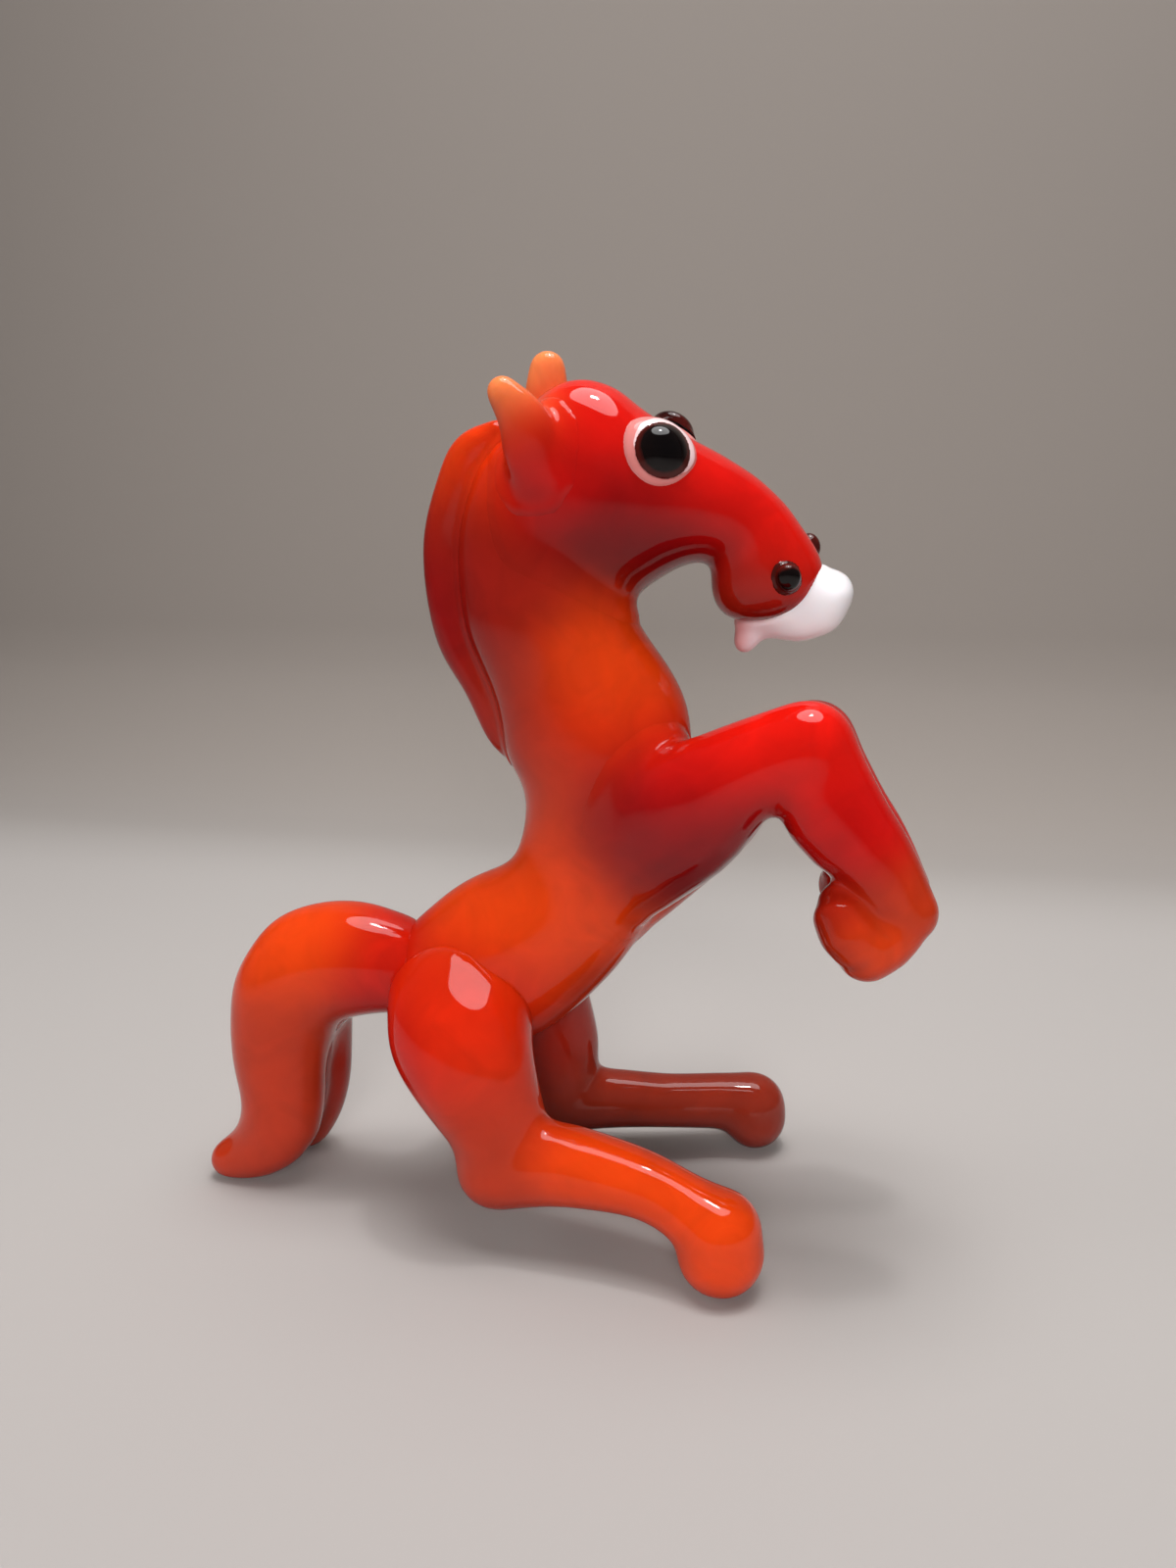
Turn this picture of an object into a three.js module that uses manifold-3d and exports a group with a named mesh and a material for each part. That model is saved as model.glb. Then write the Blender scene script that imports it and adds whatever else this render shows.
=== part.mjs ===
// A rearing horse, flame-worked in solid glass. Each gather of glass is one closed mesh.
// Sizes are in millimetres and angles in degrees. The horse faces +X, its left side is +Y,
// and it stands on the plane Z = 0, on two hooves and the tip of its tail.

import * as THREE from "three";
import Module from "manifold-3d";

const wasm = await Module();
wasm.setup();

// General sizes
const seam = 0.3; // gap left where the flame has joined two gathers
const facet = 2.1; // width of the facets on a thick gather
const fewestSides = 12; // facets round a thin gather
const tuck = 0.7; // how much thinner a gather starts, where it bends away inside the one before
const capRings = 3; // rings in each rounded end
const dotSides = 24; // facets round an eye or a nostril
const dotRings = 8; // bands of facets over an eye or a nostril

// A gather is drawn through stations. Each station lies one step from the last, in the
// direction that its heading gives in the side view: 0 is forwards, 90 is up, 180 is back.
// deep is the thickness seen from the side, wide is the thickness seen from the front,
// and out is the distance from the middle plane of the horse.

// Trunk and neck, one gather from the rump up to the poll behind the ears
const hipHeight = 19.9;
const trunk = {
  rump: { step: 0, heading: 0, deep: 14.3, wide: 11 },
  loin: { step: 5.5, heading: 35, deep: 15.4, wide: 12 },
  flank: { step: 6.3, heading: 38.5, deep: 13.5, wide: 11.2 },
  waist: { step: 3.9, heading: 57.5, deep: 13, wide: 10.8 },
  girth: { step: 5.6, heading: 72, deep: 13.8, wide: 11.8 },
  chest: { step: 4.3, heading: 87, deep: 14.7, wide: 12.4 },
  neckBase: { step: 4.3, heading: 103.5, deep: 16.2, wide: 12.4 },
  neckLow: { step: 5.9, heading: 114, deep: 13.9, wide: 11.6 },
  neckMid: { step: 5.3, heading: 114.5, deep: 13.7, wide: 11.6 },
  neckHigh: { step: 5.4, heading: 107, deep: 11.2, wide: 8.2 },
  poll: { step: 4, heading: 84, deep: 9, wide: 8.2 },
};

// Head, drawn from the poll to the mouth. It is cocked and turned a little to its left.
const headRoll = 10;
const headTurn = 4;
const head = {
  skull: { step: 3.7, heading: -5, deep: 18.2, wide: 11.8 },
  cheek: { step: 3.6, heading: -10, deep: 17, wide: 12.6 },
  brow: { step: 2.9, heading: -3, deep: 13.6, wide: 11.8 },
  bridge: { step: 3.1, heading: -3, deep: 10.1, wide: 9.8 },
  nose: { step: 3.4, heading: -15, deep: 7.8, wide: 8 },
  nostrils: { step: 2.7, heading: -37, deep: 7.1, wide: 7.4 },
  muzzle: { step: 2.6, heading: -72, deep: 9.3, wide: 8.2 },
  mouth: { step: 2.2, heading: -76, deep: 9, wide: 7.8, cap: 2 },
};

// White lip, laid round the mouth from the nose tip to the chin. around is the angle from the
// nose tip over the end of the mouth, and the last station is a drop that hangs below the chin.
const lip = {
  front: { around: 24, deep: 3.8, wide: 7, proud: 0.8 },
  side: { around: 54, deep: 4.4, wide: 7, proud: 1.1 },
  middle: { around: 78, deep: 3.2, wide: 5.6, proud: 0.8 },
  back: { around: 96, deep: 2.4, wide: 3.6, proud: 0.6 },
  chin: { around: 112, deep: 2, wide: 2.6, proud: 0.5 },
};
const lipDrop = { step: 1.7, heading: -112, deep: 2.4, wide: 2.2 };

// Ears, each from its root beside the poll to a blunt tip
const earRoot = { forward: 2.2, up: 1.3 };
const ear = {
  right: {
    root: { step: 0, heading: 0, deep: 4.6, wide: 3.8, out: 4.2 },
    middle: { step: 1.9, heading: 108, deep: 4.8, wide: 3.7, out: 4.5 },
    upper: { step: 2.6, heading: 103, deep: 4.2, wide: 3.4, out: 4.7 },
    tip: { step: 2.8, heading: 125, deep: 2.5, wide: 2.4, out: 4.8 },
  },
  left: {
    root: { step: 0, heading: 0, deep: 4.4, wide: 3.8, out: 4.2 },
    middle: { step: 2.9, heading: 110, deep: 4.1, wide: 3.6, out: 4.5 },
    upper: { step: 3.6, heading: 90, deep: 3.7, wide: 3.2, out: 4.7 },
    tip: { step: 1.7, heading: 87, deep: 3, wide: 2.6, out: 4.8 },
  },
};

// Dots on the head. along counts the head's stations and turn is the angle down from its top
// line. ahead and above are the angles by which a dot looks ahead and up from straight sideways.
// Each eye is a white dot with a black one on it, and lift is how much higher the black one sits.
const eye = {
  right: { along: 2.35, turn: 45, ahead: 24, above: 26, lift: 0 },
  left: { along: 2.45, turn: 52, ahead: 24, above: 32, lift: 1.05 },
};
const white = { round: 6.5, thick: 3.4, proud: 0.35 };
const pupil = { round: 4.8, thick: 3, proud: 1.25 };
const nostril = {
  right: { along: 6.25, turn: 68, ahead: 25, above: 10 },
  left: { along: 5.95, turn: 36, ahead: 25, above: 45 },
};
const nostrilDrop = { long: 2.6, high: 2.2, thick: 1.8, proud: 0.1 };

// Mane, laid down the back of the neck. It starts on the poll's rounded end, at pollAngle from
// the poll's back, and along counts the trunk's stations.
const maneSink = 0.3;
const mane = {
  forelock: { pollAngle: 58, deep: 2, wide: 2.4 },
  crown: { pollAngle: 28, deep: 3, wide: 3.4 },
  crest: { along: 9.8, deep: 3.3, wide: 3.8 },
  upper: { along: 9, deep: 3.3, wide: 3.8 },
  middle: { along: 8, deep: 3.2, wide: 3.6 },
  lower: { along: 7.2, deep: 2.7, wide: 3.2 },
  low: { along: 6.5, deep: 2, wide: 2.4 },
  end: { along: 5.9, deep: 1, wide: 1.2 },
};

// Tail: a heavy near strand that arches back from the rump and down to the ground, and a thinner
// far strand beside it. back is behind the rump's centre and up is above the ground. tailReach is
// how far back the tail falls.
const tailReach = 17;
const tailRoot = { back: 4.9, up: 1.5 };
const tailArch = {
  inside: { step: 0, heading: 0, deep: 9, wide: 8.6, out: -0.5 },
  root: { step: 2.8, heading: 172, deep: 10.7, wide: 9.4, out: -0.8 },
  top: { step: 3.6, heading: 180, deep: 11.4, wide: 9.6, out: -1.2 },
  turn: { step: 4.3, heading: 200, deep: 11.2, wide: 9.6, out: -1.6 },
};
const tailDrop = {
  high: { back: tailReach, up: 14.9, deep: 9.9, wide: 8.8, out: -2 },
  middle: { back: tailReach + 0.1, up: 10.8, deep: 8.7, wide: 8, out: -2.2 },
  low: { back: tailReach - 0.1, up: 8, deep: 8, wide: 7.4, out: -2.5 },
  heel: { back: tailReach + 0.6, up: 5.1, deep: 7.6, wide: 6.6, out: -2.8 },
  foot: { back: tailReach + 2.9, up: 2.7, deep: 5.8, wide: 5.2, out: -3.2 },
  tip: { back: tailReach + 5.4, up: 1.7, deep: 3.8, wide: 3.6, out: -3.6 },
};
const tailStrand = {
  top: { back: tailReach - 2.8, up: 17, deep: 6.4, wide: 6, out: 1.6 },
  high: { back: tailReach - 1.4, up: 11.8, deep: 6.8, wide: 6, out: 2.6 },
  middle: { back: tailReach - 1.1, up: 8.4, deep: 6.7, wide: 5.8, out: 2.8 },
  low: { back: tailReach - 0.5, up: 5.2, deep: 6.2, wide: 5.4, out: 2.8 },
  foot: { back: tailReach + 0.7, up: 2.6, deep: 5.6, wide: 5, out: 2.8 },
};

// Forelegs, raised. The upper part runs from the shoulder to the knee, the shin from the knee
// down, and the end curls under like a hook.
const foreRoot = { forward: -0.9, up: -5.3 };
const foreUpper = {
  root: { step: 0, heading: 0, deep: 10.6, wide: 6, out: 1 },
  shoulder: { step: 7.2, heading: 44, deep: 11.6, wide: 7.4, out: 3.3 },
  upper: { step: 4.8, heading: 40, deep: 11.1, wide: 7.8, out: 4.8 },
  fore: { step: 6, heading: 37, deep: 7.9, wide: 7.2, out: 5.4 },
  knee: { step: 4.8, heading: 21, deep: 7.8, wide: 7.2, out: 5.5 },
};
const foreShin = {
  upper: { step: 5.2, heading: -68, deep: 8.1, wide: 7, out: 5.5 },
  middle: { step: 4.3, heading: -49, deep: 6.7, wide: 6.6, out: 5.5 },
  lower: { step: 3, heading: -56, deep: 6, wide: 6, out: 5.5 },
  pastern: { step: 2.4, heading: -54, deep: 5, wide: 5.4, out: 5.6 },
};
const foreHook = {
  heel: { step: 2.1, heading: -124, deep: 5.2, wide: 5.5, out: 5.8 },
  bottom: { step: 2.2, heading: -139, deep: 5, wide: 5.6, out: 6.2 },
};
const foreCurl = {
  toe: { step: 1.8, heading: 130, deep: 4.9, wide: 5.8, out: 6.9 },
  end: { step: 1.7, heading: 126, deep: 4.6, wide: 5.4, out: 7 },
  tip: { step: 1, heading: 104, deep: 3.2, wide: 3.6, out: 6.2 },
};

// Hind legs. The haunch is set out from the rump's centre. forward is in front of that centre
// and up is above the ground, so the hooves stay on the ground. hockOut is how far out from the
// middle plane each hock lies.
const hockOut = 8;
const haunchRoot = { forward: 0.2, up: 3.1 };
const haunch = {
  top: { step: 0, heading: 0, deep: 7.4, wide: 6, out: 5, cap: 1.9 },
  upper: { step: 3, heading: -83, deep: 11.8, wide: 8.8, out: 6.1 },
  full: { step: 3.7, heading: -58, deep: 12.4, wide: 9.8, out: hockOut - 1 },
  thigh: { step: 3.2, heading: -62, deep: 10.7, wide: 9.2, out: hockOut - 0.4 },
  gaskin: { step: 3.6, heading: -67, deep: 9, wide: 8, out: hockOut - 0.2 },
};
const shank = {
  right: {
    hock: { forward: 5.7, up: 6.9, deep: 7.5, wide: 7.3, out: hockOut },
    upper: { forward: 10.2, up: 7.9, deep: 7.4, wide: 6.8, out: hockOut + 0.3 },
    middle: { forward: 14.6, up: 7.9, deep: 6.4, wide: 6.2, out: hockOut + 0.8 },
    lower: { forward: 18.9, up: 7.6, deep: 5.5, wide: 5.6, out: hockOut + 1.6 },
    pastern: { forward: 22, up: 6.5, deep: 5.5, wide: 5.6, out: hockOut + 2.2 },
    hoof: { forward: 24.9, up: 5, deep: 7.2, wide: 7.2, out: hockOut + 2.7 },
  },
  left: {
    hock: { forward: 7.6, up: 5.4, deep: 7, wide: 7, out: hockOut },
    upper: { forward: 12.2, up: 5.4, deep: 5.9, wide: 6, out: hockOut + 0.8 },
    middle: { forward: 17.8, up: 4.9, deep: 5.3, wide: 5.4, out: hockOut + 2.4 },
    lower: { forward: 23.4, up: 4.6, deep: 5.7, wide: 5.6, out: hockOut + 4 },
    hoof: { forward: 26, up: 4.2, deep: 6.6, wide: 6.6, out: hockOut + 4.6 },
  },
};
const hoofDrop = {
  right: { step: 1.7, heading: -84, deep: 7.4, wide: 7.4 },
  left: { step: 1.1, heading: -80, deep: 6.6, wide: 6.6 },
};

// The right and the left side. The left foreleg hangs a little lower, and the left haunch lies
// a little ahead, as the photograph shows.
const sides = {
  right: { side: -1, foreAhead: 0, foreLift: 0, haunchAhead: 0 },
  left: { side: 1, foreAhead: 0.3, foreLift: -1.4, haunchAhead: 1.6 },
};

// Glass colours, roughness and clearness of the surface
const glass = {
  orange: { color: 0xd64a12, roughness: 0.08, metalness: 0 },
  red: { color: 0xb3120a, roughness: 0.08, metalness: 0 },
  maroon: { color: 0x7d0f0c, roughness: 0.08, metalness: 0 },
  white: { color: 0xe6dfe0, roughness: 0.1, metalness: 0 },
  black: { color: 0x0c0607, roughness: 0.05, metalness: 0 },
};

const radians = THREE.MathUtils.degToRad;

// A point of the side view moved by a step in a direction
function moved(point, step, heading) {
  const angle = radians(heading);
  return new THREE.Vector3(point.x + step * Math.cos(angle), point.y, point.z + step * Math.sin(angle));
}

// The stations of a chain, each placed one step from the last
function walk(start, chain, side = 1) {
  const stations = [];
  let point = start.clone();
  for (const row of Object.values(chain)) {
    point = moved(point, row.step, row.heading);
    point.y = side * (row.out ?? 0);
    stations.push({ ...row, at: point.clone() });
  }
  return stations;
}

const hip = new THREE.Vector3(0, 0, hipHeight);

// A point that is set out from the hip, forwards or back, and up
function fromHip(row) {
  return new THREE.Vector3(hip.x + (row.forward ?? -row.back), 0, hip.z + row.up);
}

// Stations that are set out from the hip along the ground, and from the ground in height
function onGround(rows, side = 1) {
  return Object.values(rows).map((row) => {
    const at = new THREE.Vector3(hip.x + (row.forward ?? -row.back), side * row.out, row.up);
    return { ...row, at };
  });
}

// Smooth centre line and smooth thickness through a list of stations
class Spine {
  constructor(stations) {
    this.last = stations.length - 1;
    this.line = new THREE.CatmullRomCurve3(stations.map((row) => row.at), false, "centripetal");
    const sizes = stations.map((row) => new THREE.Vector3(row.deep / 2, row.wide / 2, 0));
    this.sizes = new THREE.CatmullRomCurve3(sizes, false, "catmullrom", 0.5);
  }

  // Centre, directions and half sizes at a place counted in stations
  frame(along) {
    const t = THREE.MathUtils.clamp(along / this.last, 0, 1);
    const centre = this.line.getPoint(t);
    const forward = this.line.getTangent(t);
    const across = new THREE.Vector3(0, 1, 0).addScaledVector(forward, -forward.y).normalize();
    const top = new THREE.Vector3().crossVectors(forward, across);
    const size = this.sizes.getPoint(t);
    return { centre, forward, across, top, deep: size.x, wide: size.y };
  }
}

// One ring of points round a frame, shrunk and shifted along for the rounded ends
function addRing(points, count, frame, shrink, shift) {
  const centre = frame.centre.clone().addScaledVector(frame.forward, shift);
  for (let i = 0; i < count; i += 1) {
    const angle = (2 * Math.PI * i) / count;
    const point = centre.clone();
    point.addScaledVector(frame.top, frame.deep * shrink * Math.cos(angle));
    point.addScaledVector(frame.across, frame.wide * shrink * Math.sin(angle));
    points.push(point);
  }
}

// A closed mesh drawn through stations, with rounded ends. grow thickens it all round.
function gather(stations, grow = 0) {
  const spine = new Spine(stations);
  const frameAt = (along) => {
    const frame = spine.frame(along);
    frame.deep += grow;
    frame.wide += grow;
    return frame;
  };
  const start = frameAt(0);
  const end = frameAt(spine.last);
  const capLength = (frame, cap) => (cap ? cap + grow : Math.min(frame.deep, frame.wide));
  const startCap = capLength(start, stations[0].cap);
  const endCap = capLength(end, stations[spine.last].cap);
  const girth = Math.max(...stations.map((row) => (Math.PI * (row.deep + row.wide)) / 2));
  const count = Math.max(fewestSides, 2 * Math.round(girth / facet / 2));
  const rings = Math.max(2, Math.round((spine.line.getLength() * count) / girth));
  const points = [];
  points.push(start.centre.clone().addScaledVector(start.forward, -startCap));
  for (let i = 1; i <= capRings; i += 1) {
    const angle = (Math.PI / 2) * (i / (capRings + 1));
    addRing(points, count, start, Math.sin(angle), -startCap * Math.cos(angle));
  }
  for (let i = 0; i <= rings; i += 1) {
    addRing(points, count, frameAt((spine.last * i) / rings), 1, 0);
  }
  for (let i = capRings; i >= 1; i -= 1) {
    const angle = (Math.PI / 2) * (i / (capRings + 1));
    addRing(points, count, end, Math.sin(angle), endCap * Math.cos(angle));
  }
  points.push(end.centre.clone().addScaledVector(end.forward, endCap));
  return skin(points, count);
}

// Triangles over the rings, closed at the first and last point
function skin(points, count) {
  const ringCount = (points.length - 2) / count;
  const lastPoint = points.length - 1;
  const triangles = [];
  const at = (ring, i) => 1 + ring * count + (i % count);
  for (let i = 0; i < count; i += 1) {
    triangles.push(0, at(0, i), at(0, i + 1));
    triangles.push(lastPoint, at(ringCount - 1, i + 1), at(ringCount - 1, i));
  }
  for (let ring = 0; ring < ringCount - 1; ring += 1) {
    for (let i = 0; i < count; i += 1) {
      triangles.push(at(ring, i), at(ring + 1, i), at(ring, i + 1));
      triangles.push(at(ring, i + 1), at(ring + 1, i), at(ring + 1, i + 1));
    }
  }
  const geometry = new THREE.BufferGeometry();
  geometry.setFromPoints(points);
  geometry.setIndex(triangles);
  return geometry;
}

// A round dot of glass, flattened along its normal
function dot(centre, normal, upward, long, high, thick) {
  const across = new THREE.Vector3().crossVectors(upward, normal).normalize();
  const up = new THREE.Vector3().crossVectors(normal, across);
  const points = [];
  points.push(centre.clone().addScaledVector(normal, -thick / 2));
  for (let ring = 1; ring < dotRings; ring += 1) {
    const polar = (Math.PI * ring) / dotRings;
    for (let i = 0; i < dotSides; i += 1) {
      const angle = (2 * Math.PI * i) / dotSides;
      const point = centre.clone().addScaledVector(normal, (-thick / 2) * Math.cos(polar));
      point.addScaledVector(across, -(long / 2) * Math.sin(polar) * Math.cos(angle));
      point.addScaledVector(up, (high / 2) * Math.sin(polar) * Math.sin(angle));
      points.push(point);
    }
  }
  points.push(centre.clone().addScaledVector(normal, thick / 2));
  return skin(points, dotSides);
}

// Solids that can be joined and cut
function solid(geometry) {
  const vertProperties = new Float32Array(geometry.getAttribute("position").array);
  const triVerts = new Uint32Array(geometry.getIndex().array);
  return new wasm.Manifold(new wasm.Mesh({ numProp: 3, vertProperties, triVerts }));
}

function join(geometries) {
  return geometries.map(solid).reduce((whole, piece) => whole.add(piece));
}

function cut(whole, tools) {
  return tools.reduce((rest, tool) => rest.subtract(tool), whole);
}

// The half of space below the ground, which flattens what rests on it
function ground() {
  const reach = 200;
  const slab = new THREE.BoxGeometry(reach, reach, reach);
  slab.deleteAttribute("normal");
  slab.deleteAttribute("uv");
  slab.translate(0, 0, -reach / 2);
  return solid(weld(slab));
}

// Merges the corners that a box repeats on each face
function weld(geometry) {
  const position = geometry.getAttribute("position");
  const found = new Map();
  const points = [];
  const index = Array.from(geometry.getIndex().array, (vertex) => {
    const point = new THREE.Vector3().fromBufferAttribute(position, vertex);
    const key = point.toArray().join();
    if (!found.has(key)) {
      found.set(key, points.length);
      points.push(point);
    }
    return found.get(key);
  });
  const welded = new THREE.BufferGeometry().setFromPoints(points);
  welded.setIndex(index);
  return welded;
}

// The head's own frame: everything on the head is built level and straight, then turned
// about the poll with this matrix.
const trunkStations = walk(hip, trunk);
const pollPoint = trunkStations.at(-1).at;
const headTurning = new THREE.Matrix4()
  .makeTranslation(pollPoint.x, pollPoint.y, pollPoint.z)
  .multiply(new THREE.Matrix4().makeRotationZ(radians(headTurn)))
  .multiply(new THREE.Matrix4().makeRotationX(radians(headRoll)))
  .multiply(new THREE.Matrix4().makeTranslation(-pollPoint.x, -pollPoint.y, -pollPoint.z));
const headStations = walk(pollPoint, head);
const trunkSpine = new Spine(trunkStations);
const headSpine = new Spine(headStations);

function onHead(geometry) {
  return geometry.applyMatrix4(headTurning);
}

// Seat of a dot on the head: a point of its skin, at a place along it and a turn down from its
// top line, and the direction in which the dot faces
function headSeat({ along, turn, ahead, above }, side) {
  const frame = headSpine.frame(along);
  const point = frame.centre.clone();
  point.addScaledVector(frame.top, frame.deep * Math.cos(radians(turn)));
  point.addScaledVector(frame.across, side * frame.wide * Math.sin(radians(turn)));
  const normal = frame.across.clone().multiplyScalar(side);
  normal.addScaledVector(frame.forward, Math.tan(radians(ahead)));
  normal.addScaledVector(frame.top, Math.tan(radians(above))).normalize();
  const up = frame.top.clone().addScaledVector(normal, -frame.top.dot(normal)).normalize();
  return { point, normal, up, forward: frame.forward };
}

// Each gather as a function of how much it is grown, so that it can cut its neighbours
function trunkGather(grow = 0) {
  return join([gather(trunkStations, grow)]);
}

function headGather(grow = 0) {
  return join([onHead(gather(headStations, grow))]);
}

function earGather(name, side) {
  const root = pollPoint.clone().add(new THREE.Vector3(earRoot.forward, 0, earRoot.up));
  return join([onHead(gather(walk(root, ear[name], side)))]);
}

// A dot on the head, sunk or raised along the normal of its seat
function headDot(seat, raise, long, high, thick) {
  const centre = seat.point.clone().addScaledVector(seat.normal, raise);
  return join([onHead(dot(centre, seat.normal, seat.forward, long, high, thick))]);
}

function eyeWhite(name, side, grow = 0) {
  const size = white.round + 2 * grow;
  return headDot(headSeat(eye[name], side), white.proud - white.thick / 4, size, size, white.thick + 2 * grow);
}

function eyePupil(name, side) {
  const seat = headSeat(eye[name], side);
  seat.point.addScaledVector(seat.up, eye[name].lift);
  return headDot(seat, pupil.proud - pupil.thick / 4, pupil.round, pupil.round, pupil.thick);
}

function nostrilDot(name, side, grow = 0) {
  const { long, high, thick, proud } = nostrilDrop;
  const sizes = [high, long, thick].map((size) => size + 2 * grow);
  return headDot(headSeat(nostril[name], side), proud, ...sizes);
}

function lipGather() {
  const mouth = headSpine.frame(headSpine.last);
  const stations = Object.values(lip).map((row) => {
    const angle = radians(row.around);
    const at = mouth.centre.clone();
    at.addScaledVector(mouth.top, (mouth.deep + row.proud) * Math.cos(angle));
    at.addScaledVector(mouth.forward, (head.mouth.cap + row.proud) * Math.sin(angle));
    return { ...row, at };
  });
  stations.push({ ...lipDrop, at: moved(stations.at(-1).at, lipDrop.step, lipDrop.heading) });
  return join([onHead(gather(stations))]);
}

function maneGather() {
  const stations = Object.values(mane).map((row) => {
    const frame = trunkSpine.frame(row.along ?? trunkSpine.last);
    const angle = radians(row.pollAngle ?? 0);
    const reach = frame.deep + row.deep / 2 - maneSink;
    const at = frame.centre.clone();
    // The trunk's top side is its back, because the trunk runs forwards and up.
    at.addScaledVector(frame.top, reach * Math.cos(angle));
    at.addScaledVector(frame.forward, reach * Math.sin(angle));
    return { ...row, at };
  });
  return join([gather(stations)]);
}

function tailGather(grow = 0) {
  const near = [...walk(fromHip(tailRoot), tailArch), ...onGround(tailDrop)];
  return join([gather(near, grow), gather(onGround(tailStrand), grow)]);
}

// A station made thinner, to start a gather inside another one
function tucked(row) {
  return { ...row, deep: row.deep - tuck, wide: row.wide - tuck };
}

function foreleg({ side, foreAhead, foreLift }) {
  const girth = trunkStations[Object.keys(trunk).indexOf("girth")].at;
  const offset = new THREE.Vector3(foreRoot.forward + foreAhead, 0, foreRoot.up + foreLift);
  const gathers = [walk(girth.clone().add(offset), foreUpper, side)];
  for (const chain of [foreShin, foreHook, foreCurl]) {
    const bend = gathers.at(-1).at(-1);
    gathers.push([tucked(bend), ...walk(bend.at, chain, side)]);
  }
  return join(gathers.map((stations) => gather(stations)));
}

function hindLeg(name, { side, haunchAhead }) {
  const root = fromHip(haunchRoot).add(new THREE.Vector3(haunchAhead, 0, 0));
  const lower = onGround(shank[name], side);
  const upper = [...walk(root, haunch, side), tucked(lower[0])];
  const hoof = lower.at(-1);
  const sole = { ...hoofDrop[name], at: moved(hoof.at, hoofDrop[name].step, hoofDrop[name].heading) };
  return join([gather(upper), gather(lower), gather([tucked(hoof), sole])]);
}

// A finished piece as a named mesh with its own glass
function piece(name, whole, look) {
  const mesh = whole.getMesh();
  const geometry = new THREE.BufferGeometry();
  geometry.setAttribute("position", new THREE.BufferAttribute(new Float32Array(mesh.vertProperties), 3));
  geometry.setIndex(new THREE.BufferAttribute(new Uint32Array(mesh.triVerts), 1));
  geometry.computeVertexNormals();
  const result = new THREE.Mesh(geometry, new THREE.MeshStandardMaterial(look));
  result.name = name;
  return result;
}

const horse = new THREE.Group();
const floor = ground();
const grownTrunk = trunkGather(seam);
const grownHead = headGather(seam);
const grownTail = tailGather(seam);

horse.add(piece("body_and_neck", trunkGather(), glass.orange));
horse.add(piece("head", cut(headGather(), [grownTrunk]), glass.red));
horse.add(piece("mane", cut(maneGather(), [grownTrunk, grownHead]), glass.maroon));
horse.add(piece("tail", cut(tailGather(), [grownTrunk, floor]), glass.orange));

const grownNostrils = Object.entries(sides).map(([name, { side }]) => nostrilDot(name, side, seam));
horse.add(piece("muzzle_lip", cut(lipGather(), [grownHead, ...grownNostrils]), glass.white));

for (const [name, hand] of Object.entries(sides)) {
  const { side } = hand;
  horse.add(piece(`${name}_ear`, cut(earGather(name, side), [grownTrunk, grownHead]), glass.orange));
  horse.add(piece(`${name}_eye_white`, cut(eyeWhite(name, side), [grownHead]), glass.white));
  horse.add(piece(`${name}_pupil`, cut(eyePupil(name, side), [grownHead, eyeWhite(name, side, seam)]), glass.black));
  horse.add(piece(`${name}_nostril`, cut(nostrilDot(name, side), [grownHead]), glass.black));
  horse.add(piece(`${name}_foreleg`, cut(foreleg(hand), [grownTrunk]), glass.red));
  const hind = cut(hindLeg(name, hand), [grownTrunk, grownTail, floor]);
  horse.add(piece(`${name}_hind_leg`, hind, glass.orange));
}

// The origin is on the ground, under the middle of the figurine.
const box = new THREE.Box3().setFromObject(horse);
const middle = box.getCenter(new THREE.Vector3());
horse.position.set(-middle.x, -middle.y, -box.min.z);
const figurine = new THREE.Group();
figurine.add(horse);

export default figurine;
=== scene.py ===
"""Looks of a small rearing horse, flame-worked in orange and red glass.

Each gather of glass is taken from the frame's solid. Its facets are smoothed away, and its foot is
drawn out a little over the gathers that it is fused to. Lengths are millimetres up to the mesh.
"""

import math

import bpy
import numpy as np
import openvdb
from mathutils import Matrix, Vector


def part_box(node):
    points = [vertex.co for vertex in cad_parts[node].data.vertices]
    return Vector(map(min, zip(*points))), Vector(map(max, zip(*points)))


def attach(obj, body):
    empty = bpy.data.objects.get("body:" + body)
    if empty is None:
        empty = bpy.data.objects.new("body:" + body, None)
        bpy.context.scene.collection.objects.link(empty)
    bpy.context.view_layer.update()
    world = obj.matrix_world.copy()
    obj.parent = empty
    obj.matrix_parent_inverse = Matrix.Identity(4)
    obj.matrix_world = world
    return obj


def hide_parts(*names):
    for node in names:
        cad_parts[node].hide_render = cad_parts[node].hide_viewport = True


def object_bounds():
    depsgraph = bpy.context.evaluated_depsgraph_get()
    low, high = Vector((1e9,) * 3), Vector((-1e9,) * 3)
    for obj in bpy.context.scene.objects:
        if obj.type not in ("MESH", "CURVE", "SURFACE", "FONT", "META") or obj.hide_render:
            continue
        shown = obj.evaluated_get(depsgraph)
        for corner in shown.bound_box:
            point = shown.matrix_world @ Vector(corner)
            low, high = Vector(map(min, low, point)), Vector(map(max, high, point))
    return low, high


MM = 0.001
SEAM = 0.3  # gap between two gathers of the frame
SEAM_FILL = 0.8  # share of the seam's width that the melted glass fills
BLUR = 0.47  # width of the blur that smooths a facet away, as a share of the facet's width
REACH = 16  # how far from a surface its distance is known, in grid steps
SINK = 0.02  # depth at which the drawn-out foot of a gather ends inside its neighbour
BAND = (0.4, 0.6)  # shares of a gather's height between which its low facets give way to its high ones
SETTLES = 3  # times that a point of a mesh is moved onto the surface
FLATTEST = 0.05  # least square of the slope that such a move counts on

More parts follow.
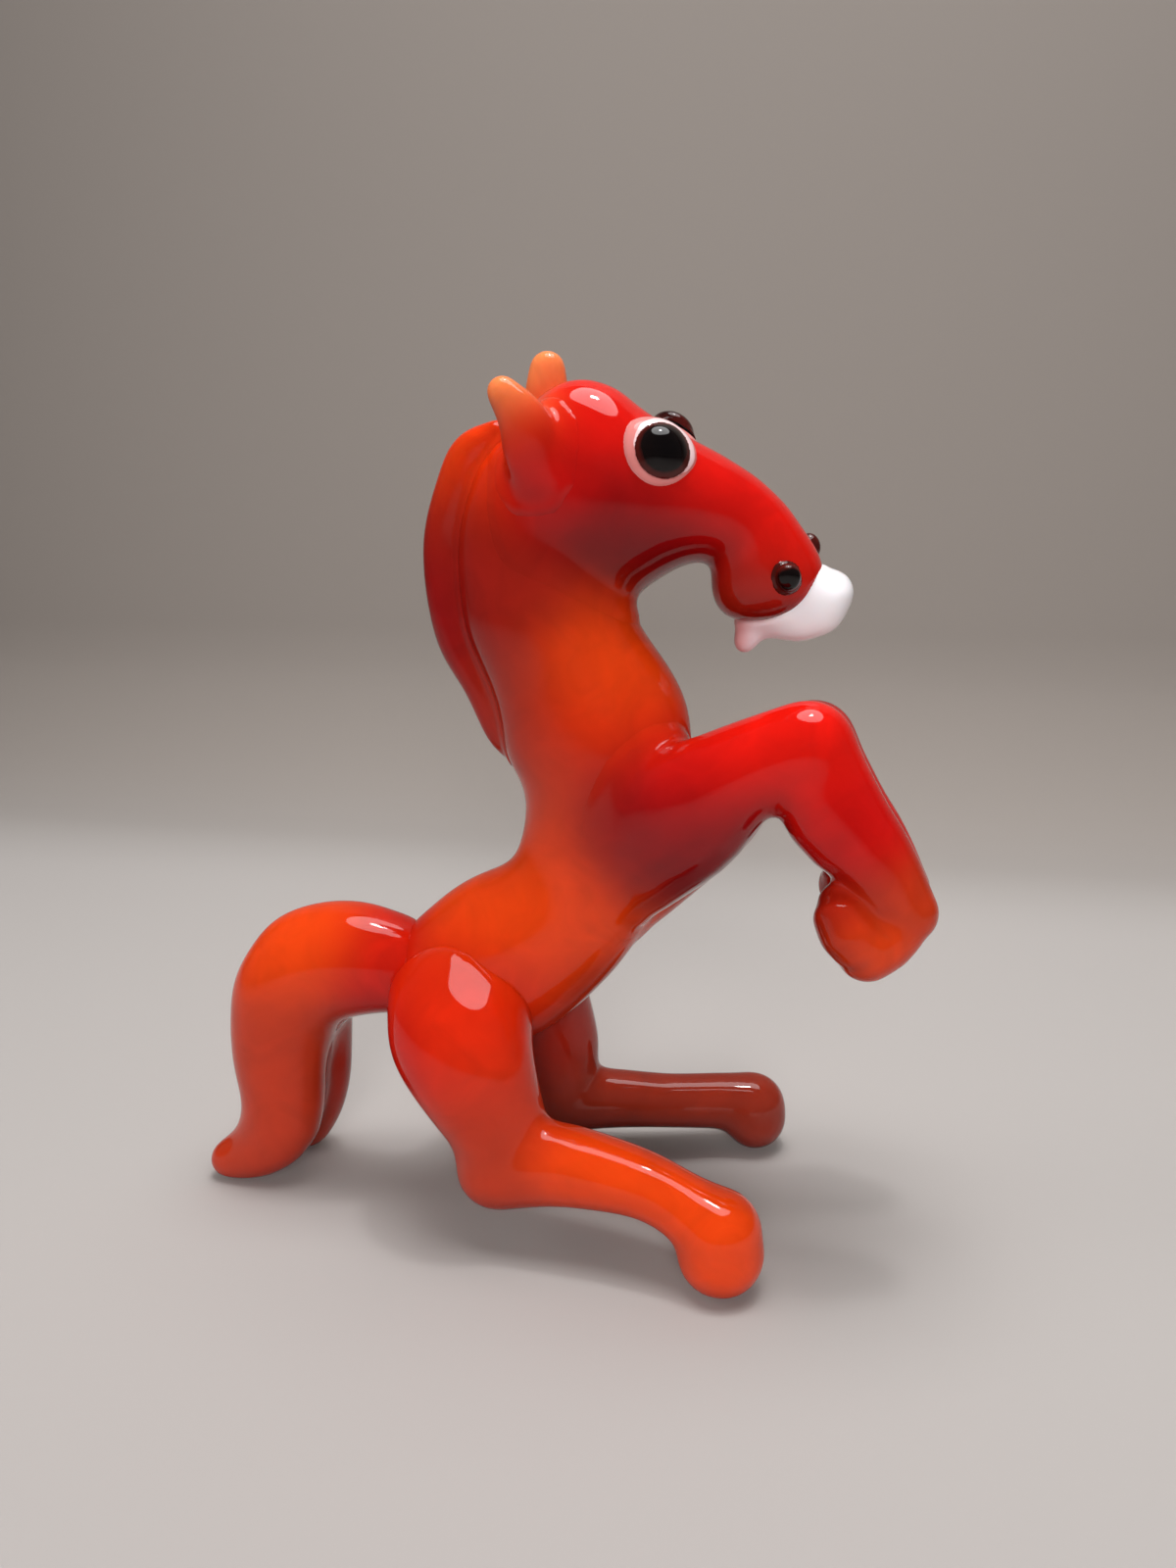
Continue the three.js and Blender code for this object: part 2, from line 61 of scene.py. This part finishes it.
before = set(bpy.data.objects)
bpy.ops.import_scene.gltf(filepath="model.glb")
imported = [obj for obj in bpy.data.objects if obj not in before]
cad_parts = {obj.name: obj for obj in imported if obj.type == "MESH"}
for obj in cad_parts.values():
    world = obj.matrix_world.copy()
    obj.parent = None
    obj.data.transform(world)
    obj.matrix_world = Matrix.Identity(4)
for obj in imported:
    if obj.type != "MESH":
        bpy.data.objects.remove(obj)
cad_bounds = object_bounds()


# Shapes: distance fields of the gathers


class Field:
    """Distance to a surface on a regular grid, negative inside the glass."""

    def __init__(self, values, low, step):
        self.values = values
        self.low = low
        self.step = step

    def points(self):
        """The place of each grid corner."""
        axes = [self.low[a] + self.step * np.arange(self.values.shape[a]) for a in range(3)]
        return np.stack(np.meshgrid(*axes, indexing="ij"), axis=-1)

    def read(self, points, values=None):
        """The distance, or other values on the same grid, at points between the grid's corners."""
        values = self.values if values is None else values
        place = (points - self.low) / self.step
        last = np.array(values.shape[:3]) - 2
        corner = np.clip(np.floor(place).astype(int), 0, last)
        part = np.clip(place - corner, 0, 1)
        total = 0
        for shift in np.ndindex(2, 2, 2):
            i, j, k = (corner[..., axis] + shift[axis] for axis in range(3))
            weight = np.prod(np.where(shift, part, 1 - part), axis=-1)
            near = values[i, j, k]
            total = total + (weight if near.ndim == weight.ndim else weight[..., None]) * near
        return total


def cad_field(name, step):
    """Distance to a gather of the frame."""
    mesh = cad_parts[name].data
    points = np.empty(len(mesh.vertices) * 3, np.float32)
    mesh.vertices.foreach_get("co", points)
    mesh.calc_loop_triangles()
    corners = np.empty(len(mesh.loop_triangles) * 3, np.int32)
    mesh.loop_triangles.foreach_get("vertices", corners)
    places = points.reshape(-1, 3)[corners] / MM
    # The frame's mesh repeats a point for each face, and the grid needs it once.
    unique, index = np.unique(np.round(places, 4), axis=0, return_inverse=True)
    grid = openvdb.FloatGrid.createLevelSetFromPolygons(
        unique.astype(np.float32),
        triangles=index.reshape(-1, 3).astype(np.uint32),
        transform=openvdb.createLinearTransform(voxelSize=step),
        halfWidth=float(REACH),
    )
    low = np.floor(unique.min(0) / step).astype(int) - REACH
    high = np.ceil(unique.max(0) / step).astype(int) + REACH
    values = np.full(high - low + 1, REACH * step, np.float32)
    grid.copyToArray(values, ijk=tuple(int(i) for i in low))
    return Field(values, low * step, step)


def blurred(values, spread):
    """Values averaged with their neighbours, by a bell curve that is spread grid steps wide."""
    reach = math.ceil(3 * spread)
    offsets = np.arange(-reach, reach + 1)
    weights = np.exp(-0.5 * (offsets / spread) ** 2)
    weights /= weights.sum()
    for axis in range(3):
        edges = [(reach, reach) if a == axis else (0, 0) for a in range(3)]
        padded = np.moveaxis(np.pad(values, edges, mode="edge"), axis, 0)
        count = values.shape[axis]
        total = sum(
            np.float32(weight) * padded[start : start + count]
            for start, weight in enumerate(weights)
        )
        values = np.moveaxis(total, 0, axis)
    return values


def smoothed(values, spread):
    """Facets blurred away. What a blur takes off round glass is put back."""
    once = blurred(values, spread)
    return 2 * once - blurred(once, spread)


def fused(own, base, fillet):
    """Two gathers melted into one, with a fillet of about that width, and the frame's seam filled."""
    overlap = np.maximum(fillet - np.abs(own - base), 0)
    melted = np.minimum(own, base) - overlap**2 / (4 * fillet)
    return np.minimum(melted, np.maximum(own, base) - SEAM_FILL * SEAM)


def eased(values, start, end):
    """0 up to the start, 1 from the end on, and a smooth rise between."""
    share = np.clip((values - start) / (end - start), 0, 1)
    return share * share * (3 - 2 * share)


def evened(values, field, low_facet, high_facet):
    """Facets smoothed away, those near the gather's bottom and those near its top by their widths."""
    low = smoothed(values, BLUR * low_facet / field.step)
    if high_facet == low_facet:
        return low
    high = smoothed(values, BLUR * high_facet / field.step)
    steps = np.arange(values.shape[2]) / (values.shape[2] - 1)
    return low + (high - low) * eased(steps, *BAND).astype(np.float32)


def gather(name, facets, onto=(), fillet=0.4, foot=1.2, step=0.25):
    """The smooth field of a gather, with its foot drawn out over the gathers that it is fused to."""
    field = cad_field(name, step)
    own = field.values
    points = field.points()
    if onto:
        near = own < foot + 1
        base = np.full(own.shape, REACH * step, np.float32)
        base[near] = np.minimum.reduce([other.read(points[near]) for other in onto])
        melted = evened(fused(own, base, fillet), field, *facets)
        skirt = melted + (base + SINK - melted) * eased(own, 0.5 * foot, foot)
        field.values = np.maximum(skirt, own - foot)
    else:
        field.values = evened(own, field, *facets)
    field.values = np.maximum(field.values, -points[..., 2])
    return field


def surface(field):
    """Points, four-sided faces and normals of a field's surface."""
    grid = openvdb.FloatGrid()
    grid.transform = openvdb.createLinearTransform(voxelSize=field.step)
    origin = np.round(field.low / field.step).astype(int)
    grid.copyFromArray(field.values.astype(np.float32), ijk=tuple(int(i) for i in origin))
    grid.gridClass = openvdb.GridClass.LEVEL_SET
    points, quads = grid.convertToQuads(isovalue=0.0)
    points = points.astype(float)
    slope = np.stack(np.gradient(field.values, field.step), axis=-1)
    for _ in range(SETTLES):
        normals = field.read(points, slope)
        size = np.maximum((normals**2).sum(-1, keepdims=True), FLATTEST)
        points = points - field.read(points)[..., None] * normals / size
    normals = field.read(points, slope)
    normals /= np.linalg.norm(normals, axis=-1, keepdims=True)
    return points, quads, normals


# Colours: each zone of the glass has its own, they run into each other, and painted shade darkens what
# faces the ground


def linear(*colour):
    """A display colour, each channel 0 to 255, as the shader wants it."""
    return [((c / 255 + 0.055) / 1.055) ** 2.4 if c > 10 else c / 255 / 12.92 for c in colour]


# Display colours of the glass rods and of what they turn into where they run together
GLASS = {
    "pale orange": (248, 144, 84),
    "orange": (222, 64, 12),
    "burnt orange": (182, 50, 20),
    "flame": (208, 36, 8),
    "scarlet": (214, 20, 10),
    "red": (188, 12, 10),
    "rust": (150, 28, 16),
    "brown": (140, 44, 28),
    "maroon": (134, 10, 16),
    "deep maroon": (98, 3, 9),
}

# Each zone: the node, the place in its box as shares of its length, width and height, the glass, and
# the zone's size in millimetres
ZONES = {
    "throat": ("body_and_neck", (0.88, 0.5, 0.64), "orange", 3.5),
    "neck front": ("body_and_neck", (0.75, 0.5, 0.7), "orange", 3),
    "neck front low": ("body_and_neck", (0.74, 0.5, 0.57), "flame", 3),
    "neck side": ("body_and_neck", (0.52, 0.5, 0.77), "rust", 3),
    "neck back": ("body_and_neck", (0.38, 0.5, 0.78), "rust", 3),
    "neck back low": ("body_and_neck", (0.47, 0.5, 0.61), "burnt orange", 3),
    "nape": ("body_and_neck", (0.4, 0.5, 0.96), "flame", 3),
    "wither": ("body_and_neck", (0.56, 0.5, 0.47), "burnt orange", 3.5),
    # The breast is maroon partly for its own glass and partly as painted shade under the neck
    "breast": ("body_and_neck", (0.92, 0.5, 0.42), "maroon", 3),
    "belly": ("body_and_neck", (0.62, 0.5, 0.29), "orange", 4.5),
    "loin": ("body_and_neck", (0.32, 0.5, 0.3), "orange", 4.5),
    "rump": ("body_and_neck", (0.04, 0.5, 0.2), "red", 2.5),
    # The groin is burnt orange partly for its own glass and partly as painted shade under the belly
    "groin": ("body_and_neck", (0.7, 0.5, 0.15), "burnt orange", 3),
    "poll": ("head", (0.27, 0.5, 0.86), "scarlet", 3.5),
    "temple": ("head", (0.22, 0.5, 0.62), "red", 3),
    "cheek": ("head", (0.32, 0.5, 0.38), "deep maroon", 3.5),
    "upper cheek": ("head", (0.45, 0.5, 0.48), "maroon", 2.5),
    # The jaw is maroon partly for its own glass and partly as painted shade on its underside
    "jaw": ("head", (0.48, 0.5, 0.26), "maroon", 3),
    "bridge": ("head", (0.62, 0.5, 0.68), "scarlet", 3.5),
    "nose side": ("head", (0.7, 0.5, 0.5), "red", 2.5),
    "nose": ("head", (0.88, 0.5, 0.4), "scarlet", 3),
    "muzzle": ("head", (0.8, 0.5, 0.13), "rust", 2.5),
    "mane top": ("mane", (0.46, 0.5, 0.94), "orange", 3),
    "mane upper": ("mane", (0.26, 0.5, 0.72), "rust", 3),
    "mane middle": ("mane", (0.18, 0.5, 0.5), "maroon", 3.5),
    "mane end": ("mane", (0.67, 0.5, 0.16), "maroon", 3.5),
    "tail root": ("tail", (0.9, 0.5, 0.82), "red", 3),
    "tail arch": ("tail", (0.6, 0.5, 0.88), "orange", 3),
    "tail bend": ("tail", (0.36, 0.5, 0.82), "orange", 3.5),
    "tail fall": ("tail", (0.3, 0.3, 0.5), "burnt orange", 4),
    "tail heel": ("tail", (0.2, 0.3, 0.1), "burnt orange", 4),
    "inner strand": ("tail", (0.6, 0.8, 0.35), "rust", 3),
    # The ear tips are pale orange partly for their own glass and partly as painted glow of light
    # through the thin glass
    "right ear tip": ("right_ear", (0.2, 0.5, 0.92), "pale orange", 1.8),
    "right ear side": ("right_ear", (0.42, 0.5, 0.58), "flame", 2),
    "right ear root": ("right_ear", (0.75, 0.5, 0.15), "red", 2),
    # This tip is pale orange partly for its own glass and partly as painted glow of light through the
    # thin glass
    "left ear tip": ("left_ear", (0.5, 0.5, 0.92), "pale orange", 2.2),
    "left ear root": ("left_ear", (0.6, 0.5, 0.2), "flame", 2.2),
    "right shoulder": ("right_foreleg", (0.26, 0.6, 0.74), "red", 3),
    # The breast and the underside of the near foreleg are maroon partly for their own glass and partly
    # as painted shade
    "right breast": ("right_foreleg", (0.1, 0.6, 0.5), "maroon", 3),
    "right upper leg": ("right_foreleg", (0.45, 0.5, 0.86), "scarlet", 3),
    "right under leg": ("right_foreleg", (0.34, 0.5, 0.48), "maroon", 3),
    "right knee": ("right_foreleg", (0.66, 0.5, 0.93), "scarlet", 3),
    "right shin": ("right_foreleg", (0.78, 0.5, 0.6), "red", 3),
    "right heel": ("right_foreleg", (0.92, 0.5, 0.3), "burnt orange", 2.5),
    "right hook": ("right_foreleg", (0.86, 0.5, 0.1), "orange", 2.5),
    "right curl": ("right_foreleg", (0.72, 0.5, 0.22), "rust", 2),
    "left shoulder": ("left_foreleg", (0.26, 0.4, 0.74), "red", 3),
    # The far foreleg's knee and hook are a little darker than the near one's, partly for their own
    # glass and partly as painted shade on the far side
    "left knee": ("left_foreleg", (0.66, 0.5, 0.93), "red", 3.5),
    "left shin": ("left_foreleg", (0.78, 0.5, 0.5), "red", 3.5),
    "left hook": ("left_foreleg", (0.86, 0.5, 0.12), "burnt orange", 3),
    "right haunch top": ("right_hind_leg", (0.12, 0.5, 0.95), "flame", 3),
    "right haunch": ("right_hind_leg", (0.3, 0.4, 0.76), "flame", 4),
    "right haunch back": ("right_hind_leg", (0.02, 0.5, 0.68), "red", 3),
    "right thigh": ("right_hind_leg", (0.35, 0.4, 0.55), "burnt orange", 3),
    "right hock": ("right_hind_leg", (0.27, 0.4, 0.25), "burnt orange", 3.5),
    "right shank": ("right_hind_leg", (0.62, 0.3, 0.38), "orange", 3.5),
    "right hoof": ("right_hind_leg", (0.9, 0.2, 0.2), "orange", 3.5),
    "left haunch top": ("left_hind_leg", (0.15, 0.4, 0.95), "flame", 3),
    # The far hind leg's haunch, shank and hoof are rust and brown partly for their own glass and partly
    # as painted shade on the far side
    "left haunch": ("left_hind_leg", (0.3, 0.5, 0.65), "rust", 4),
    "left shank": ("left_hind_leg", (0.6, 0.5, 0.25), "brown", 5),
    "left hoof": ("left_hind_leg", (0.9, 0.6, 0.18), "brown", 4),
}


FAR_WEIGHT = 1e-6  # what a zone still counts for far outside its size
# Painted shade: glass that faces the ground is darkened in its colour, as it would be in shade under
# the light from above
UNDERSIDE_SHADE = (0.4, 0.5, 0.3)  # what glass that faces the ground loses of its red, green and blue
FACING_DOWN = 0.9  # how far down a normal points where it has lost all of that


def within(node, shares):
    """The place in a node's box, in millimetres, at those shares of its three lengths."""
    low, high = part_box(node)
    return np.array([low[a] + (high[a] - low[a]) * shares[a] for a in range(3)]) / MM


def tints(points, normals):
    """The glass colour at each point: the nearest zones for their size, darkened by painted shade where
    it faces the ground.
    """
    total = np.zeros((len(points), 3))
    weights = np.full((len(points), 1), 1e-30)
    for node, shares, glass, size in ZONES.values():
        away = ((points - within(node, shares)) ** 2).sum(-1, keepdims=True)
        weight = np.exp(-away / (2 * size**2)) + FAR_WEIGHT / (1 + away)
        total += weight * np.array(linear(*GLASS[glass]))
        weights += weight
    # Painted shade: how far each point faces the ground
    painted_shade_share = eased(-normals[:, 2:], 0.0, FACING_DOWN)
    return total / weights * (1 - painted_shade_share * np.array(UNDERSIDE_SHADE))


# Materials


def new_material(name):
    """A node material, its tree and its surface shader."""
    made = bpy.data.materials.new(name)
    made.use_nodes = True
    return made, made.node_tree, made.node_tree.nodes["Principled BSDF"]


def add_node(tree, kind, **settings):
    """A shader node. A setting is a property of the node, or the value of the input of that name."""
    made = tree.nodes.new(kind)
    for key, value in settings.items():
        name = key.replace("_", " ").capitalize()
        if name in made.inputs:
            made.inputs[name].default_value = value
        else:
            setattr(made, key, value)
    return made


def gloss(shader):
    """Fire-polished skin of hot-worked glass. The level keeps the mirrored pale floor faint."""
    shader.inputs["Roughness"].default_value = 0.04
    shader.inputs["IOR"].default_value = 1.5
    shader.inputs["Specular IOR Level"].default_value = 0.32


def glow(shader, weight, radius, scale):
    """Light that wanders inside the glass, over the scale in millimetres, before it comes out."""
    shader.inputs["Subsurface Weight"].default_value = weight
    shader.inputs["Subsurface Radius"].default_value = radius
    shader.inputs["Subsurface Scale"].default_value = scale * MM


def ripple(tree, shader, size=3.5, depth=0.05):
    """Slight unevenness that the flame and the tools leave on a surface, both in millimetres."""
    place = add_node(tree, "ShaderNodeTexCoord")
    waves = add_node(tree, "ShaderNodeTexNoise", scale=1 / (size * MM), detail=1.0)
    bump = add_node(tree, "ShaderNodeBump", strength=1.0, distance=depth * MM)
    tree.links.new(place.outputs["Object"], waves.inputs["Vector"])
    tree.links.new(waves.outputs["Fac"], bump.inputs["Height"])
    tree.links.new(bump.outputs["Normal"], shader.inputs["Normal"])


def streaked_glass(cord_size=5, darkest=0.9, lightest=1.06):
    """Orange and red glass: the zones' colours with their painted shade underneath, and faint darker
    and lighter cords in it.
    """
    made, tree, shader = new_material("streaked_glass")
    tint = add_node(tree, "ShaderNodeVertexColor", layer_name="tint")
    place = add_node(tree, "ShaderNodeTexCoord")
    cords = add_node(tree, "ShaderNodeTexNoise", scale=1 / (cord_size * MM), detail=3.0, distortion=1.5)
    depth = add_node(tree, "ShaderNodeMapRange")
    depth.inputs["From Min"].default_value = 0.3
    depth.inputs["From Max"].default_value = 0.7
    depth.inputs["To Min"].default_value = darkest
    depth.inputs["To Max"].default_value = lightest
    shade = add_node(tree, "ShaderNodeVectorMath", operation="SCALE")
    tree.links.new(place.outputs["Object"], cords.inputs["Vector"])
    tree.links.new(cords.outputs["Fac"], depth.inputs["Value"])
    tree.links.new(tint.outputs["Color"], shade.inputs[0])
    tree.links.new(depth.outputs["Result"], shade.inputs["Scale"])
    tree.links.new(shade.outputs["Vector"], shader.inputs["Base Color"])
    gloss(shader)
    glow(shader, 0.2, (1.0, 0.28, 0.1), 1.5)
    ripple(tree, shader)
    return made


def ramped(tree, factor, stops):
    """A colour ramp over a factor, from (place, display colour) stops."""
    ramp = add_node(tree, "ShaderNodeValToRGB")
    while len(ramp.color_ramp.elements) < len(stops):
        ramp.color_ramp.elements.new(0.5)
    for element, (place, colour) in zip(ramp.color_ramp.elements, stops):
        element.position = place
        element.color = (*linear(*colour), 1)
    tree.links.new(factor, ramp.inputs["Fac"])
    return ramp.outputs["Color"]


def opal_glass(name, stops, cloud_size=1.5, unevenness=0.12):
    """Milky or black glass, whose colour runs with the share stored in the mesh, a little unevenly."""
    made, tree, shader = new_material(name)
    share = add_node(tree, "ShaderNodeAttribute", attribute_name="share")
    place = add_node(tree, "ShaderNodeTexCoord")
    cloud = add_node(tree, "ShaderNodeTexNoise", scale=1 / (cloud_size * MM), detail=2.0)
    spread = add_node(tree, "ShaderNodeMath", operation="MULTIPLY_ADD")
    spread.inputs[1].default_value = unevenness
    tree.links.new(place.outputs["Object"], cloud.inputs["Vector"])
    tree.links.new(cloud.outputs["Fac"], spread.inputs[0])
    tree.links.new(share.outputs["Fac"], spread.inputs[2])
    tree.links.new(ramped(tree, spread.outputs["Value"], stops), shader.inputs["Base Color"])
    gloss(shader)
    glow(shader, 0.3, (1.0, 0.7, 0.6), 0.6)
    ripple(tree, shader, size=2.5, depth=0.02)
    return made


def stage_material(name, near, far, start, end):
    """Matt paper, whose colour runs from one display colour to another with the distance behind."""
    made, tree, shader = new_material(name)
    place = add_node(tree, "ShaderNodeTexCoord")
    split = add_node(tree, "ShaderNodeSeparateXYZ")
    reach = add_node(tree, "ShaderNodeMapRange", interpolation_type="SMOOTHSTEP")
    reach.inputs["From Min"].default_value = start * MM
    reach.inputs["From Max"].default_value = end * MM
    tree.links.new(place.outputs["Object"], split.inputs["Vector"])
    tree.links.new(split.outputs["Y"], reach.inputs["Value"])
    colour = ramped(tree, reach.outputs["Result"], [(0, near), (1, far)])
    tree.links.new(colour, shader.inputs["Base Color"])
    shader.inputs["Roughness"].default_value = 0.9
    return made


# Colours of the dots from their middle to their rim, and of the lip from its thick end to its drop,
# each as a place from 0 to 1 and a display colour
EYE_WHITE = [(0.6, (240, 220, 220)), (1.0, (236, 198, 200)), (1.25, (214, 130, 126))]
BLACK = [(0.5, (7, 4, 5)), (0.9, (14, 6, 6)), (1.05, (70, 18, 14))]
LIP = [(0.6, (238, 233, 236)), (0.85, (234, 214, 218)), (1.0, (214, 150, 150))]


# Pieces


def glass_object(name, field, material, shares=None):
    """The shown piece of a node, with its colours, riding on the body in the node's place."""
    points, quads, normals = surface(field)
    mesh = bpy.data.meshes.new(name)
    mesh.vertices.add(len(points))
    mesh.vertices.foreach_set("co", (points * MM).ravel())
    mesh.loops.add(quads.size)
    mesh.loops.foreach_set("vertex_index", quads[:, ::-1].ravel().astype(np.int32))
    mesh.polygons.add(len(quads))
    mesh.polygons.foreach_set("loop_start", np.arange(0, quads.size, 4, dtype=np.int32))
    mesh.update(calc_edges=True)
    mesh.polygons.foreach_set("use_smooth", np.ones(len(quads), bool))
    mesh.normals_split_custom_set_from_vertices(normals.tolist())
    tint = mesh.color_attributes.new("tint", "FLOAT_COLOR", "POINT")
    tint.data.foreach_set("color", np.c_[tints(points, normals), np.ones(len(points))].ravel())
    if shares is not None:
        share = mesh.attributes.new("share", "FLOAT", "POINT")
        share.data.foreach_set("value", shares(points))
    mesh.materials.append(material)
    made = bpy.data.objects.new("glass_" + name, mesh)
    bpy.context.scene.collection.objects.link(made)
    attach(made, "root")
    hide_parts(name)
    return made


def rim_share(node):
    """For a pressed dot: 0 in its middle to 1 at its rim."""
    low, high = (np.array(corner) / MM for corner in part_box(node))
    middle, radius = (low + high) / 2, np.sort(high - low)[1:].mean() / 2
    return lambda points: np.linalg.norm(points - middle, axis=-1) / radius


def lip_share(points):
    """For the lip: 0 at its thick end under the nose to 1 at the drop."""
    low, high = (np.array(corner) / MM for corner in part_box("muzzle_lip"))
    return 1 - (points[:, 0] - low[0]) / (high[0] - low[0])


def build_glass():
    """All gathers, each after those that it is fused to."""
    glass = streaked_glass()
    white = opal_glass("eye_white_glass", EYE_WHITE)
    black = opal_glass("black_glass", BLACK)
    lip = opal_glass("lip_glass", LIP)
    made = {}

    def form(name, slot, facets, material=glass, shares=None, onto=(), **shape):
        made[name] = gather(name, facets, onto=[made[other] for other in onto], **shape)
        glass_object(name, made[name], material, shares)

    form("body_and_neck", "orange_glass", (2.8, 2.8))
    form("head", "red_glass", (2.1, 2.1), onto=["body_and_neck"], fillet=2.4, foot=3.0)
    form("tail", "orange_glass", (2.2, 4.4), onto=["body_and_neck"], fillet=0.8, foot=1.8)
    foreleg = {"facets": (1.0, 2.1), "fillet": 1.4, "foot": 2.4}
    form("right_foreleg", "red_glass", onto=["body_and_neck"], **foreleg)
    form("left_foreleg", "red_glass", onto=["body_and_neck", "right_foreleg"], **foreleg)
    hind_leg = {"facets": (1.9, 3.8), "fillet": 0.5, "foot": 1.8}
    ear = {"facets": (1.2, 1.2), "fillet": 1.0, "foot": 1.8, "step": 0.2}
    for side in ("right", "left"):
        form(f"{side}_hind_leg", "orange_glass", onto=["body_and_neck", "tail"], **hind_leg)
        form(f"{side}_ear", "orange_glass", onto=["head", "body_and_neck"], **ear)
    form("mane", "maroon_glass", (1.1, 1.1), onto=["body_and_neck", "head"], foot=0.9)
    lip_shape = {"facets": (1.8, 1.8), "fillet": 0.3, "foot": 0.8, "step": 0.15}
    form("muzzle_lip", "white_glass", material=lip, shares=lip_share, onto=["head"], **lip_shape)

    def dot(name, slot, material, facet, onto):
        shape = {"facets": (facet, facet), "fillet": 0.2, "foot": 0.5, "step": 0.12}
        form(name, slot, material=material, shares=rim_share(name), onto=onto, **shape)

    for side in ("right", "left"):
        dot(f"{side}_eye_white", "white_glass", white, 2.0, ["head"])
        dot(f"{side}_pupil", "black_glass", black, 0.9, [f"{side}_eye_white", "head"])
        dot(f"{side}_nostril", "black_glass", black, 0.5, ["head"])


# Stage, light and camera


FLOOR_COLOUR = (176, 171, 168)
WALL_COLOUR = (140, 132, 126)
BACKDROP = 160  # distance of the backdrop behind the horse
BEND = 40  # radius of the bend between floor and backdrop
BEND_STEP = 10  # degrees between two edges of the bend
STAGE_HEIGHT = 420
STAGE_HALF_WIDTH = 700
STAGE_FRONT = -600


def build_stage():
    """A pale floor that turns up into a grey backdrop behind the horse."""
    foot = BACKDROP - BEND
    profile = [(STAGE_FRONT, 0), (foot, 0)]
    for degrees in range(BEND_STEP, 91, BEND_STEP):
        turn = math.radians(degrees)
        profile.append((foot + BEND * math.sin(turn), BEND - BEND * math.cos(turn)))
    profile.append((BACKDROP, STAGE_HEIGHT))
    points = [(side * STAGE_HALF_WIDTH * MM, y * MM, z * MM) for y, z in profile for side in (-1, 1)]
    faces = [(2 * i, 2 * i + 1, 2 * i + 3, 2 * i + 2) for i in range(len(profile) - 1)]
    mesh = bpy.data.meshes.new("stage")
    mesh.from_pydata(points, [], faces)
    mesh.polygons.foreach_set("use_smooth", [True] * len(faces))
    paper = stage_material("stage_paper", FLOOR_COLOUR, WALL_COLOUR, foot - BEND, BACKDROP)
    mesh.materials.append(paper)
    stage = bpy.data.objects.new("stage", mesh)
    bpy.context.scene.collection.objects.link(stage)


def area_lamp(name, direction, distance, size, power, mirrored=True, spread=180):
    """A round soft lamp at that distance, in millimetres, facing the middle of the object. One that
    isn't mirrored stands for the light that a whole room throws back, and shows in no reflection."""
    lamp = bpy.data.lights.new(name, "AREA")
    lamp.shape = "DISK"
    lamp.size = size * MM
    lamp.energy = power
    lamp.spread = math.radians(spread)
    made = bpy.data.objects.new(name, lamp)
    low, high = cad_bounds
    towards = Vector(direction).normalized()
    made.location = (low + high) / 2 + towards * distance * MM
    made.rotation_euler = towards.to_track_quat("Z", "Y").to_euler()
    made.visible_glossy = mirrored
    bpy.context.scene.collection.objects.link(made)


def build_light():
    """A softbox overhead, with a brighter core, and the soft light of the room."""
    overhead = (0.12, 0.02, 0.99)
    area_lamp("softbox", overhead, distance=400, size=290, power=1.1)
    area_lamp("softbox_core", overhead, distance=395, size=40, power=0.25)
    area_lamp("room_above", (-0.1, 0.0, 1.0), distance=420, size=260, power=0.5, mirrored=False)
    beside = {"distance": 600, "size": 300, "mirrored": False, "spread": 50}
    area_lamp("room_front", (0.2, -1.0, 0.35), power=0.24, **beside)
    area_lamp("room_left", (-1.0, -0.2, 0.5), power=0.06, **beside)
    world = bpy.data.worlds.new("room")
    world.use_nodes = True
    room = world.node_tree.nodes["Background"]
    room.inputs["Color"].default_value = (*linear(255, 250, 246), 1)
    room.inputs["Strength"].default_value = 0.1
    bpy.context.scene.world = world


VIEW_TURN = 12  # degrees that the camera stands ahead of the horse's right side
VIEW_TILT = 12  # degrees that it looks down
VIEW_DISTANCE = 97.0
VIEW_AIM = (3.45, -0.75)  # place aimed at, ahead of the middle and to its right, in millimetres
VIEW_HEIGHT = 0.522  # height aimed at, as a share of the horse's height
LENS = 26.0  # focal length for a sensor 36 millimetres wide


def build_camera():
    """The photograph's view: from the right side and a little ahead and above, close to the horse."""
    turn, tilt = math.radians(VIEW_TURN), math.radians(VIEW_TILT)
    aim = Vector((VIEW_AIM[0] * MM, VIEW_AIM[1] * MM, VIEW_HEIGHT * cad_bounds[1].z))
    back = Vector((math.sin(turn) * math.cos(tilt), -math.cos(turn) * math.cos(tilt), math.sin(tilt)))
    camera = bpy.data.cameras.new("camera")
    camera.lens = LENS
    camera.sensor_width = 36.0
    camera.clip_start = 5 * MM
    camera.clip_end = 5
    made = bpy.data.objects.new("camera", camera)
    made.location = aim + back * VIEW_DISTANCE * MM
    made.rotation_euler = (math.pi / 2 - tilt, 0, turn)
    bpy.context.scene.collection.objects.link(made)
    bpy.context.scene.camera = made


build_camera()
build_glass()
build_stage()
build_light()
bpy.context.scene.view_settings.view_transform = "Standard"
